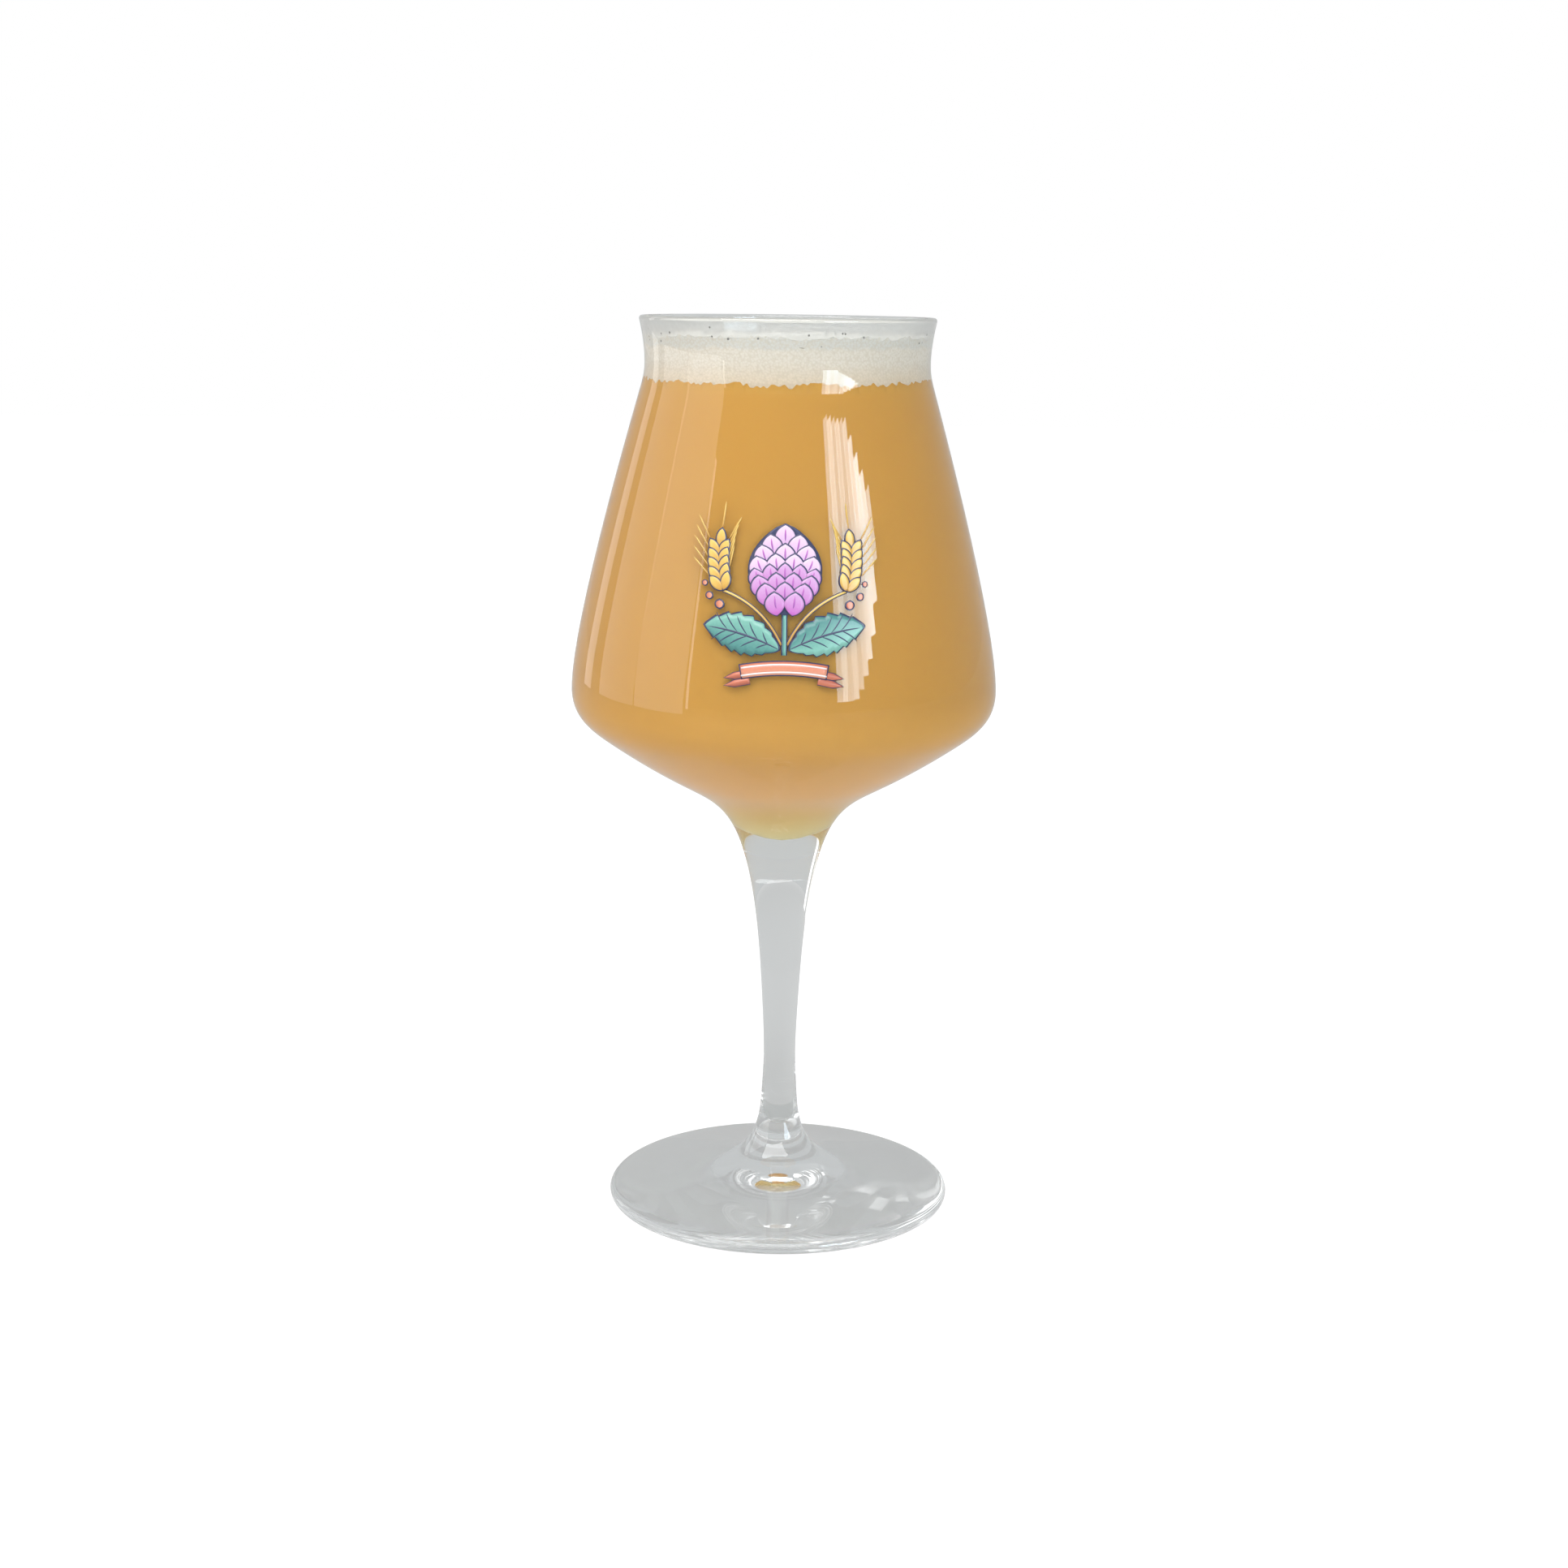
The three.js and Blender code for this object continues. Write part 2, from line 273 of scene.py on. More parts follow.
def height_group():
    """Height as a share of a piece from its low to its high level, made uneven by slow clouds."""
    inputs = {"Low": "Float", "High": "Float", "Scale": "Float", "Drift": "Float"}
    group, inlet, outlet = new_group("uneven_height", inputs, {"Share": "Float"})
    place = add_node(group, "ShaderNodeTexCoord")
    split = add_node(group, "ShaderNodeSeparateXYZ")
    rise = add_node(group, "ShaderNodeMapRange")
    clouds = add_node(group, "ShaderNodeTexNoise", Detail=2.0)
    drift = add_node(group, "ShaderNodeMath")
    drift.operation = "MULTIPLY_ADD"
    group.links.new(place.outputs["Object"], split.inputs["Vector"])
    group.links.new(place.outputs["Object"], clouds.inputs["Vector"])
    group.links.new(inlet.outputs["Low"], rise.inputs["From Min"])
    group.links.new(inlet.outputs["High"], rise.inputs["From Max"])
    group.links.new(inlet.outputs["Scale"], clouds.inputs["Scale"])
    group.links.new(split.outputs["Z"], rise.inputs["Value"])
    group.links.new(clouds.outputs["Fac"], drift.inputs[0])
    group.links.new(inlet.outputs["Drift"], drift.inputs[1])
    group.links.new(rise.outputs["Result"], drift.inputs[2])
    group.links.new(drift.outputs["Value"], outlet.inputs["Share"])
    return group


uneven_height = height_group()


def color_steps(tree, steps):
    """A colour ramp from a list of positions and colours."""
    node = add_node(tree, "ShaderNodeValToRGB")
    ramp = node.color_ramp
    ramp.elements[0].position, ramp.elements[0].color = steps[0]
    ramp.elements[1].position, ramp.elements[1].color = steps[-1]
    for position, color in steps[1:-1]:
        ramp.elements.new(position).color = color
    return node


def hazy_beer():
    """Cloudy beer whose colour follows its height in the bowl, painted paler and brighter low down as
    painted light.
    """
    low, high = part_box("beer")
    material, tree, shader = new_material("hazy_beer")
    shader.inputs["Roughness"].default_value = 0.12
    shader.inputs["IOR"].default_value = 1.12
    height = place_group(tree, uneven_height, Low=low.z, High=high.z, Scale=60.0, Drift=0.04)
    tone = color_steps(tree, [(0.02, BEER_BOTTOM_PAINTED_LIGHT), (0.15, BEER_LOWER_PAINTED_LIGHT), (0.36, BEER_BODY)])
    tree.links.new(height.outputs["Share"], tone.inputs["Fac"])
    tree.links.new(tone.outputs["Color"], shader.inputs["Base Color"])
    return material


beer_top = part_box("beer")[1].z
beer = front_section("beer")
near_top = [vert for vert in beer.verts if beer_top - EDGE_ZONE < vert.co.z < beer_top - SAME_PLACE]
bmesh.ops.dissolve_verts(beer, verts=near_top)
spin_round(beer, BEER_STEPS)
swell(beer, WETS_WALL)
beer_reach = max(math.hypot(vert.co.x, vert.co.y) for vert in beer.verts if vert.co.z > beer_top)
for vert in beer.verts:
    if vert.co.z > beer_top and math.hypot(vert.co.x, vert.co.y) > beer_reach - MM:
        below = min((edge.other_vert(vert) for edge in vert.link_edges), key=lambda other: other.co.z)
        dip = EDGE_DIP + FROTH_HANG * lumpiness(vert.co, FROTH_LUMPS)
        vert.co = vert.co.lerp(below.co, dip)
beer_piece = add_piece(beer, "beer_fill", [hazy_beer()])
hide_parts("beer")


# Foam head: a cream froth of fine bubbles that stands on the beer and clings to the wall.
# Its lowest bubbles hang into the beer, and its top is lumpy, with coarser bubbles, and painted greyer as
# painted shade against the ceiling light.
FOAM_STEPS = 256
FOAM_CUTS = 7
FOAM_SINK = 2.6 * MM
FOAM_CLINGS = 0.08 * MM
FOAM_GAP = 0.32 * MM
FOAM_LUMP = 0.5 * MM
FOAM_LUMPS = ((5 * MM, 1.0), (1.6 * MM, 0.5))
FOAM_MEAN = 0.75
FOAM_EDGE = 1.2 * MM
FOAM_CREEP = 1.1 * MM
CREEP_LUMP = 0.9 * MM
# The top tone is painted shade: greyer than the side, to damp the ceiling light on the top of the head.
FOAM_TOP_PAINTED_SHADE = (0.74, 0.72, 0.67, 1.0)
FOAM_PALE = (0.84, 0.78, 0.69, 1.0)
FOAM_LOW = (0.80, 0.70, 0.56, 1.0)
FOAM_SHADE = (0.64, 0.56, 0.43, 1.0)
BUBBLE = 0.5 * MM
DOMES = 220
DOME_SIZES = (0.35 * MM, 1.0 * MM)
DOME_SINK = 0.7 * MM
DOME_INSET = 1.5 * MM

bowl_section = front_section("bowl")
wall_lines = [sorted((vert.co.z, -vert.co.y) for vert in edge.verts) for edge in bowl_section.edges]


def wall_radii(height):
    """Inner and outer radius of the bowl's wall at a height, read from the section of its CAD node."""
    reaches = []
    for (low, low_reach), (high, high_reach) in wall_lines:
        if low <= height < high:
            reaches.append(low_reach + (high_reach - low_reach) * (height - low) / (high - low))
    return min(reaches), max(reaches)


def froth():
    """Foam whose small bubbles are cells of relief with painted shade towards their edges, warmer where it
    meets the beer and greyer on top as painted shade.
    """
    low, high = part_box("foam_head")
    material, tree, shader = new_material("froth")
    shader.inputs["Roughness"].default_value = 0.7
    shader.inputs["Specular IOR Level"].default_value = 0.25
    height = place_group(tree, uneven_height, Low=low.z, High=high.z, Scale=1 / (4 * MM), Drift=0.3)
    tone = color_steps(tree, [(0.12, FOAM_LOW), (0.62, FOAM_PALE), (0.9, FOAM_PALE), (1.15, FOAM_TOP_PAINTED_SHADE)])
    place = add_node(tree, "ShaderNodeTexCoord")
    cells = add_node(tree, "ShaderNodeTexVoronoi", Scale=1 / BUBBLE)
    # Painted shade: each bubble cell darkens towards its edge.
    skin = add_node(tree, "ShaderNodeMapRange", From_Min=0.3, From_Max=0.75, To_Max=0.42)
    shade = add_node(tree, "ShaderNodeMix")
    shade.data_type = "RGBA"
    shade.inputs[7].default_value = FOAM_SHADE
    bump = add_node(tree, "ShaderNodeBump", Strength=0.6, Distance=0.15 * MM)
    bump.invert = True
    tree.links.new(height.outputs["Share"], tone.inputs["Fac"])
    tree.links.new(place.outputs["Object"], cells.inputs["Vector"])
    tree.links.new(cells.outputs["Distance"], skin.inputs["Value"])
    tree.links.new(skin.outputs["Result"], shade.inputs[0])
    tree.links.new(tone.outputs["Color"], shade.inputs[6])
    tree.links.new(shade.outputs[2], shader.inputs["Base Color"])
    tree.links.new(cells.outputs["Distance"], bump.inputs["Height"])
    tree.links.new(bump.outputs["Normal"], shader.inputs["Normal"])
    return material


def add_bead(bm, place, size):
    """A small round bead at a place."""
    there = Matrix.Translation(place)
    bmesh.ops.create_uvsphere(bm, u_segments=8, v_segments=6, radius=size, matrix=there)


foam_low, foam_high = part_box("foam_head")
froth_material = froth()
foam = front_section("foam_head")
bmesh.ops.subdivide_edges(foam, edges=foam.edges[:], cuts=FOAM_CUTS)
spin_round(foam, FOAM_STEPS)
for vert in foam.verts:
    reach = math.hypot(vert.co.x, vert.co.y)
    lumps = lumpiness(vert.co, FOAM_LUMPS) - FOAM_MEAN
    on_wall = reach > wall_radii(vert.co.z)[0] - FOAM_GAP
    if vert.co.z < foam_low.z + SAME_PLACE:
        vert.co.z -= FOAM_SINK
    elif vert.co.z > foam_high.z - FOAM_EDGE:
        vert.co.z += FOAM_LUMP * lumps
        if on_wall:
            climb = 1 - (foam_high.z - vert.co.z) / FOAM_EDGE
            vert.co.z += FOAM_CREEP * max(0.0, climb) * unevenness(vert.co, CREEP_LUMP)
    if on_wall:
        vert.co.xy *= (wall_radii(vert.co.z)[0] + FOAM_CLINGS) / reach
foam_piece = add_piece(foam, "foam_froth", [froth_material])
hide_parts("foam_head")
chance = random.Random(11)
domes = bmesh.new()
for _ in range(DOMES):
    reach = (foam_high.x - DOME_INSET) * math.sqrt(chance.random())
    bearing = 2 * math.pi * chance.random()
    place = Vector((reach * math.cos(bearing), reach * math.sin(bearing), foam_high.z - DOME_SINK))
    add_bead(domes, place, chance.uniform(*DOME_SIZES))
domes_piece = add_piece(domes, "foam_bubbles", [froth_material])


# Lacing: a thin wet film of froth left on the inside of the wall above the head, with a few drops.
# It is dense beside the foam and thins out towards the rim.
LACE_START = 1.0 * MM
LACE_BARE = 0.5 * MM
LACE_SINK = 0.04 * MM
LACE_CREAM = (0.78, 0.75, 0.69, 1.0)
LACE_GREY = (0.70, 0.68, 0.65, 1.0)
LACE_DENSE = (0.9, 0.9, 0.9, 1.0)
LACE_THIN = (0.55, 0.55, 0.55, 1.0)
DROP_COLOR = (0.26, 0.25, 0.23, 1.0)
DROPS = 36
DROP_SIZES = (0.14 * MM, 0.3 * MM)
DROP_RISE = 0.7 * MM
DROP_SPREAD = 0.9 * MM


def lacing(low, high):
    """Grey film of tiny bubbles whose cover follows its height on the wall."""
    material, tree, shader = new_material("lacing")
    shader.inputs["Roughness"].default_value = 0.7
    height = place_group(tree, uneven_height, Low=low, High=high, Scale=1 / (1.1 * MM), Drift=0.24)
    tone = color_steps(tree, [(0.2, LACE_CREAM), (0.7, LACE_GREY)])
    cover = color_steps(tree, [(0.3, LACE_DENSE), (1.1, LACE_THIN)])
    tree.links.new(height.outputs["Share"], tone.inputs["Fac"])
    tree.links.new(height.outputs["Share"], cover.inputs["Fac"])
    tree.links.new(tone.outputs["Color"], shader.inputs["Base Color"])
    tree.links.new(cover.outputs["Color"], shader.inputs["Alpha"])
    return material


drop_material, _, shader = new_material("drop")
shader.inputs["Base Color"].default_value = DROP_COLOR
shader.inputs["Roughness"].default_value = 0.2
lace_low = foam_high.z - LACE_START
lace_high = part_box("bowl")[1].z - LACE_BARE
lace = front_section("bowl")
outer = [vert for vert in lace.verts if not lace_low < vert.co.z < lace_high
         or -vert.co.y > wall_radii(vert.co.z)[0] + LACE_SINK]
bmesh.ops.delete(lace, geom=outer, context="VERTS")
bmesh.ops.translate(lace, verts=lace.verts, vec=(0, -LACE_SINK, 0))
spin_round(lace, GLASS_STEPS)
lace_piece = add_piece(lace, "foam_lacing", [lacing(lace_low, lace_high)])
round_off(lace_piece, GLASS_ROUNDS)
drops = bmesh.new()
for _ in range(DROPS):
    height = chance.gauss(foam_high.z + DROP_RISE, DROP_SPREAD)
    bearing = 2 * math.pi * chance.random()
    reach = wall_radii(height)[0]
    place = Vector((reach * math.sin(bearing), -reach * math.cos(bearing), height))
    add_bead(drops, place, chance.uniform(*DROP_SIZES))
drops_piece = add_piece(drops, "foam_drops", [drop_material])


# Printed cone: the middle of the emblem, a hop cone of overlapping bracts in ceramic enamel.
# Each colour is screened on the wall as a thin coat of its own, dark outlines first, and fired on.
INK_LIFT = 0.05 * MM
INK_STEP = 0.012 * MM
INK_SINK = 0.3 * MM
OUTLINE = 0.24 * MM
NAVY = (0.028, 0.033, 0.078, 1.0)
PURPLE = (0.202, 0.064, 0.258, 1.0)
MAGENTA = (0.35, 0.092, 0.331, 1.0)
LILAC = (0.423, 0.239, 0.423, 1.0)
PALE_LILAC = (0.515, 0.386, 0.497, 1.0)
BRACTS_IN_ROW = (1, 2, 3, 4, 5, 4, 3, 2)
PALE_ROWS = 4
BRACT_LENGTH = 5.0 * MM
BRACT_WIDTH = 4.4 * MM
BRACT_BOW = -0.1
VEIN_WIDTH = 0.35 * MM


def unrolled(node):
    """Left, right, bottom and top of a printed CAD node, with the wall rolled out flat."""
    places = [vert.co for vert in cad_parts[node].data.vertices]
    alongs = [math.atan2(place.x, -place.y) * wall_radii(place.z)[1] for place in places]
    heights = [place.z for place in places]
    return min(alongs), max(alongs), min(heights), max(heights)


def new_print():
    """An empty mesh for one printed motif, with a map for the blends of its colours."""
    bm = bmesh.new()
    bm.loops.layers.uv.new("ink")
    return bm


def straight(start, end):
    """A straight middle line on the flat drawing, by share of its length."""
    return lambda share: Vector(start).lerp(Vector(end), share)


def bowed(start, end, bulge):
    """A middle line that bows to its left by a share of its length."""
    start = Vector(start)
    end = Vector(end)
    middle = (start + end) / 2 + (end - start).orthogonal() * bulge
    return lambda share: start.lerp(middle, share).lerp(middle.lerp(end, share), share)


def leafy(width, fullness):
    """Half widths of a shape that is pointed at both ends."""
    return lambda share: width / 2 * max(0.0, math.sin(math.pi * share)) ** fullness


def even(width):
    """Half widths of a band."""
    return lambda share: width / 2


def ink(bm, spine, half_width, layer, coat, rows, columns):
    """Lays one island of ink on the wall along a flat middle line, layer being its place in the stack."""
    grid = bmesh.ops.create_grid(bm, x_segments=columns, y_segments=rows, size=1.0, calc_uvs=True)
    for vert in grid["verts"]:
        share = (vert.co.y + 1) / 2
        here = spine(share)
        ahead = (spine(share + 0.01) - spine(share - 0.01)).normalized()
        side = half_width(share) * vert.co.x
        along = here.x + ahead.y * side
        height = here.y - ahead.x * side
        radius = wall_radii(height)[1]
        out = radius + INK_LIFT + INK_STEP * layer
        vert.co = (out * math.sin(along / radius), -out * math.cos(along / radius), height)
    for face in {face for vert in grid["verts"] for face in vert.link_faces}:
        face.material_index = coat


def add_print(bm, name, coats, nodes):
    """Finishes a printed motif as a thin solid film that is sunk a little into the wall."""
    bmesh.ops.remove_doubles(bm, verts=bm.verts, dist=SAME_PLACE)
    piece = add_piece(bm, name, coats)
    film = piece.modifiers.new("film", "SOLIDIFY")
    film.thickness = INK_SINK
    film.offset = -1.0
    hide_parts(*nodes)


def ink_group():
    """Print colour that blends over each island of ink, along or across it, and is slightly uneven."""
    inputs = {"Root": "Color", "Tip": "Color", "Across": "Float"}
    group, inlet, outlet = new_group("ink_blend", inputs, {"Color": "Color", "Normal": "Vector"})
    place = add_node(group, "ShaderNodeTexCoord")
    split = add_node(group, "ShaderNodeSeparateXYZ")
    run = add_node(group, "ShaderNodeMix")
    grain = add_node(group, "ShaderNodeTexNoise", Scale=1 / (0.5 * MM), Detail=3.0)
    uneven = add_node(group, "ShaderNodeMath")
    uneven.operation = "MULTIPLY_ADD"
    uneven.inputs[1].default_value = 0.3
    share = add_node(group, "ShaderNodeMapRange", From_Min=0.2)
    blend = add_node(group, "ShaderNodeMix")
    blend.data_type = "RGBA"
    bump = add_node(group, "ShaderNodeBump", Strength=0.2, Distance=0.01 * MM)
    group.links.new(place.outputs["UV"], split.inputs["Vector"])
    group.links.new(place.outputs["Object"], grain.inputs["Vector"])
    group.links.new(inlet.outputs["Across"], run.inputs[0])
    group.links.new(split.outputs["Y"], run.inputs[2])
    group.links.new(split.outputs["X"], run.inputs[3])
    group.links.new(grain.outputs["Fac"], uneven.inputs[0])
    group.links.new(run.outputs[0], uneven.inputs[2])
    group.links.new(uneven.outputs["Value"], share.inputs["Value"])
    group.links.new(share.outputs["Result"], blend.inputs[0])
    group.links.new(inlet.outputs["Root"], blend.inputs[6])
    group.links.new(inlet.outputs["Tip"], blend.inputs[7])
    group.links.new(grain.outputs["Fac"], bump.inputs["Height"])
    group.links.new(blend.outputs[2], outlet.inputs["Color"])
    group.links.new(bump.outputs["Normal"], outlet.inputs["Normal"])
    return group


ink_blend = ink_group()


def enamel(name, root_color, tip_color, across=0.0):
    """Fired print enamel."""
    material, tree, shader = new_material(name)
    shader.inputs["Roughness"].default_value = 0.3
    blend = place_group(tree, ink_blend, Root=root_color, Tip=tip_color, Across=across)
    tree.links.new(blend.outputs["Color"], shader.inputs["Base Color"])
    tree.links.new(blend.outputs["Normal"], shader.inputs["Normal"])
    return material


navy_ink = enamel("navy_ink", NAVY, NAVY)
pale_ink = enamel("pale_ink", LILAC, PALE_LILAC)
deep_ink = enamel("deep_ink", MAGENTA, LILAC)
vein_ink = enamel("vein_ink", PURPLE, MAGENTA)
cone_left, cone_right, cone_bottom, cone_top = unrolled("print_cone")
cone_width = cone_right - cone_left
cone = new_print()
cone_shape = leafy(cone_width, 0.7)
ink(cone, straight((0, cone_bottom), (0, cone_top)), cone_shape, 0, 0, 24, 10)
row_step = (cone_top - cone_bottom - BRACT_LENGTH) / (len(BRACTS_IN_ROW) - 1)
for row, count in enumerate(BRACTS_IN_ROW):
    root = cone_top - BRACT_LENGTH - row * row_step
    share = (root + BRACT_LENGTH / 2 - cone_bottom) / (cone_top - cone_bottom)
    spread = 2 * cone_shape(share) / count
    for number in range(count):
        lean = number - (count - 1) / 2
        start = Vector((lean * spread * 0.72, root))
        end = Vector((lean * spread * 1.05, root + BRACT_LENGTH * (1 - 0.06 * lean * lean)))
        width = min(spread * 1.25, BRACT_WIDTH)
        bow = BRACT_BOW * lean
        spine = bowed(start, end, bow)
        inner = bowed(start.lerp(end, 0.03), start.lerp(end, 0.93), bow)
        vein = bowed(start.lerp(end, 0.3), start.lerp(end, 0.8), bow)
        coat = 1 if row < PALE_ROWS else 2
        ink(cone, spine, leafy(width, 0.75), 3 * row + 1, 0, 10, 6)
        ink(cone, inner, leafy(width - 2 * OUTLINE, 0.75), 3 * row + 2, coat, 10, 6)
        ink(cone, vein, leafy(VEIN_WIDTH, 0.6), 3 * row + 3, 3, 6, 1)
cone_inks = [navy_ink, pale_ink, deep_ink, vein_ink]
add_print(cone, "print_hop_cone", cone_inks, ["print_cone"])


# Printed stalk: the stem of the sprig, a navy line with a lighter core.
# It is fired on with the rest of the emblem.
TEAL = (0.138, 0.313, 0.258, 1.0)
DEEP_TEAL = (0.046, 0.156, 0.147, 1.0)
STALK_OVERLAP = 1.2 * MM

teal_ink = enamel("teal_ink", DEEP_TEAL, TEAL, across=1.0)
stalk_left, stalk_right, stalk_bottom, stalk_top = unrolled("print_stalk")
stalk = new_print()
stalk_width = stalk_right - stalk_left
stalk_line = straight((0, stalk_bottom), (0, stalk_top + STALK_OVERLAP))
ink(stalk, stalk_line, even(stalk_width), 0, 0, 8, 2)
ink(stalk, stalk_line, even(stalk_width - 2 * OUTLINE), 1, 1, 8, 2)
add_print(stalk, "print_sprig_stalk", [navy_ink, teal_ink], ["print_stalk"])


# Printed leaves: two toothed hop leaves that spread from the foot of the stalk.
# Their midribs and veins are printed over the teal in the outline's navy.
LEAF_LIFT = 4.5 * MM
LEAF_WIDTH = 8.5 * MM
LEAF_GAP = 1.0 * MM
LEAF_TEETH = 7
LEAF_VEINS = 5
LEAF_BOW = 0.1
MIDRIB_WIDTH = 0.4 * MM
SIDE_VEIN_WIDTH = 0.26 * MM


def toothed(width, fullness, teeth):
    """Half widths of a leaf with a saw-toothed edge."""
    plain = leafy(width, fullness)
    return lambda share: plain(share) * (1 - 0.2 * ((share * teeth) % 1.0))


for side, sign in (("left", -1), ("right", 1)):
    leaf_left, leaf_right, _, _ = unrolled("print_leaf_" + side)
    root = Vector((sign * (stalk_right + 0.2 * MM), stalk_bottom + LEAF_GAP))
    tip = Vector((max(sign * leaf_left, sign * leaf_right) * sign, root.y + LEAF_LIFT))
    bow = sign * LEAF_BOW
    midrib = bowed(root, tip, bow)
    inner = bowed(root.lerp(tip, 0.02), root.lerp(tip, 0.97), bow)
    leaf = new_print()
    ink(leaf, midrib, toothed(LEAF_WIDTH, 0.75, LEAF_TEETH), 0, 0, 6 * LEAF_TEETH, 6)
    ink(leaf, inner, toothed(LEAF_WIDTH - 2 * OUTLINE, 0.75, LEAF_TEETH), 1, 1, 6 * LEAF_TEETH, 6)
    ink(leaf, bowed(root, root.lerp(tip, 0.93), bow), leafy(MIDRIB_WIDTH, 0.5), 2, 0, 16, 1)
    for number in range(LEAF_VEINS):
        share = 0.16 + 0.13 * number
        base = midrib(share)
        ahead = (midrib(share + 0.05) - base).normalized()
        reach = leafy(LEAF_WIDTH, 0.75)(share) * 0.95
        for across in (-1, 1):
            end = base + ahead * reach * 0.85 + ahead.orthogonal() * across * reach * 0.78
            ink(leaf, bowed(base, end, across * -LEAF_BOW), leafy(SIDE_VEIN_WIDTH, 0.5), 2, 0, 6, 1)
    leaf_inks = [navy_ink, teal_ink]
    add_print(leaf, "print_hop_leaf_" + side, leaf_inks, ["print_leaf_" + side])


# Printed ears: an ear of barley on each side of the cone, paired grains with long awns on a straw.
# The gold is laid over navy outlines.
GOLD = (0.386, 0.202, 0.037, 1.0)
PALE_GOLD = (0.552, 0.368, 0.092, 1.0)
EAR_PAIRS = 5
GRAIN_LENGTH = 4.2 * MM
GRAIN_WIDTH = 2.3 * MM
GRAIN_LEAN = 30
AWN_LENGTH = 5.0 * MM
AWN_WIDTH = 0.3 * MM
STRAW_WIDTH = 0.75 * MM
STRAW_CORE = 0.4 * MM
EAR_INSET = 3.3 * MM
EAR_START = 0.04
EAR_STEP = 0.115

gold_ink = enamel("gold_ink", GOLD, PALE_GOLD)


def turned_aside(direction, degrees):
    """A flat direction turned to its left."""
    return Matrix.Rotation(math.radians(degrees), 2) @ direction


def grain(bm, base, direction, layer):
    """One grain of barley in its outline, with its awn."""
    tip = base + direction * GRAIN_LENGTH
    hull = straight(base.lerp(tip, 0.06), base.lerp(tip, 0.92))
    awn = straight(base.lerp(tip, 0.9), tip + direction * AWN_LENGTH)
    ink(bm, awn, leafy(AWN_WIDTH, 0.4), 1, 1, 8, 1)
    ink(bm, straight(base, tip), leafy(GRAIN_WIDTH, 0.7), layer, 0, 8, 4)
    ink(bm, hull, leafy(GRAIN_WIDTH - 2 * OUTLINE, 0.7), layer + 1, 1, 8, 4)


for side, sign in (("left", -1), ("right", 1)):
    ear_left, ear_right, ear_bottom, ear_top = unrolled("print_ear_" + side)
    middle = sign * (max(abs(ear_left), abs(ear_right)) - EAR_INSET)
    rachis = bowed((middle, ear_bottom), (middle, ear_top), sign * -0.16)
    straw = bowed((sign * stalk_right, stalk_bottom + 2 * LEAF_GAP), rachis(0.05), sign * 0.22)
    ear = new_print()
    ink(ear, straw, even(STRAW_WIDTH), -1, 0, 16, 1)
    ink(ear, straw, even(STRAW_CORE), 0, 1, 16, 1)
    for pair in range(EAR_PAIRS):
        share = EAR_START + EAR_STEP * pair
        base = rachis(share)
        ahead = (rachis(share + 0.02) - base).normalized()
        for across in (-1, 1):
            grain(ear, base, turned_aside(ahead, across * GRAIN_LEAN), 2 * (EAR_PAIRS - pair) + 2)
    crown = rachis(EAR_START + EAR_STEP * EAR_PAIRS)
    grain(ear, crown, (rachis(0.75) - rachis(0.7)).normalized(), 2)
    ear_inks = [navy_ink, gold_ink]
    add_print(ear, "print_barley_ear_" + side, ear_inks, ["print_ear_" + side])


# Printed ribbon: an arched coral band with forked tails under the sprig, and berries on each side.
# A pale stripe runs along each edge of the band.
CORAL = (0.414, 0.12, 0.064, 1.0)
PALE_CORAL = (0.534, 0.23, 0.147, 1.0)
DEEP_CORAL = (0.276, 0.074, 0.046, 1.0)
CREAM = (0.57, 0.524, 0.515, 1.0)
RIBBON_WIDTH = 3.0 * MM
RIBBON_ARCH = 0.9 * MM
STRIPE_WIDTH = 0.3 * MM
STRIPE_PLACE = 0.75 * MM
BERRIES = ((13.2, 13.0, 2.1), (15.4, 14.6, 1.7), (16.4, 17.0, 1.3))

coral_ink = enamel("coral_ink", CORAL, PALE_CORAL, across=1.0)
tail_ink = enamel("tail_ink", DEEP_CORAL, CORAL, across=1.0)
cream_ink = enamel("cream_ink", CREAM, CREAM)


def forked(width):
    """Half widths of one prong of a ribbon's tail."""
    return lambda share: width / 2 * min(1.0, 2.5 * (1 - share))


ribbon_left, ribbon_right, ribbon_bottom, ribbon_top = unrolled("print_ribbon")
ribbon_ends = ribbon_top - RIBBON_WIDTH / 2 - RIBBON_ARCH
ribbon_bulge = 2 * RIBBON_ARCH / (ribbon_right - ribbon_left)
ribbon = new_print()
for sign, end in ((-1, ribbon_left), (1, ribbon_right)):
    for prong in (-1, 1):
        root = Vector((end - sign * 2 * MM, ribbon_ends + (prong * 0.75 - 0.9) * MM))
        tip = root + Vector((sign * 5.4 * MM, -1.2 * MM))
        inner = straight(root, root.lerp(tip, 0.95))
        ink(ribbon, straight(root, tip), forked(RIBBON_WIDTH / 2), 0, 0, 10, 2)
        ink(ribbon, inner, forked(RIBBON_WIDTH / 2 - OUTLINE), 1, 3, 10, 2)
    for out, rise, size in BERRIES:
        low = Vector((sign * out * MM, ribbon_ends + (rise - size / 2) * MM))
        high = low + Vector((0, size * MM))
        inner = straight(low.lerp(high, 0.15), low.lerp(high, 0.85))
        ink(ribbon, straight(low, high), leafy(size * MM, 0.5), 0, 0, 8, 4)
        ink(ribbon, inner, leafy(0.7 * size * MM, 0.5), 1, 1, 8, 4)
band = bowed((ribbon_left, ribbon_ends), (ribbon_right, ribbon_ends), ribbon_bulge)
inset = OUTLINE / (ribbon_right - ribbon_left)
ink(ribbon, band, even(RIBBON_WIDTH), 2, 0, 24, 2)
ink(ribbon, lambda share: band(inset + share * (1 - 2 * inset)),
    even(RIBBON_WIDTH - 2 * OUTLINE), 3, 1, 24, 2)
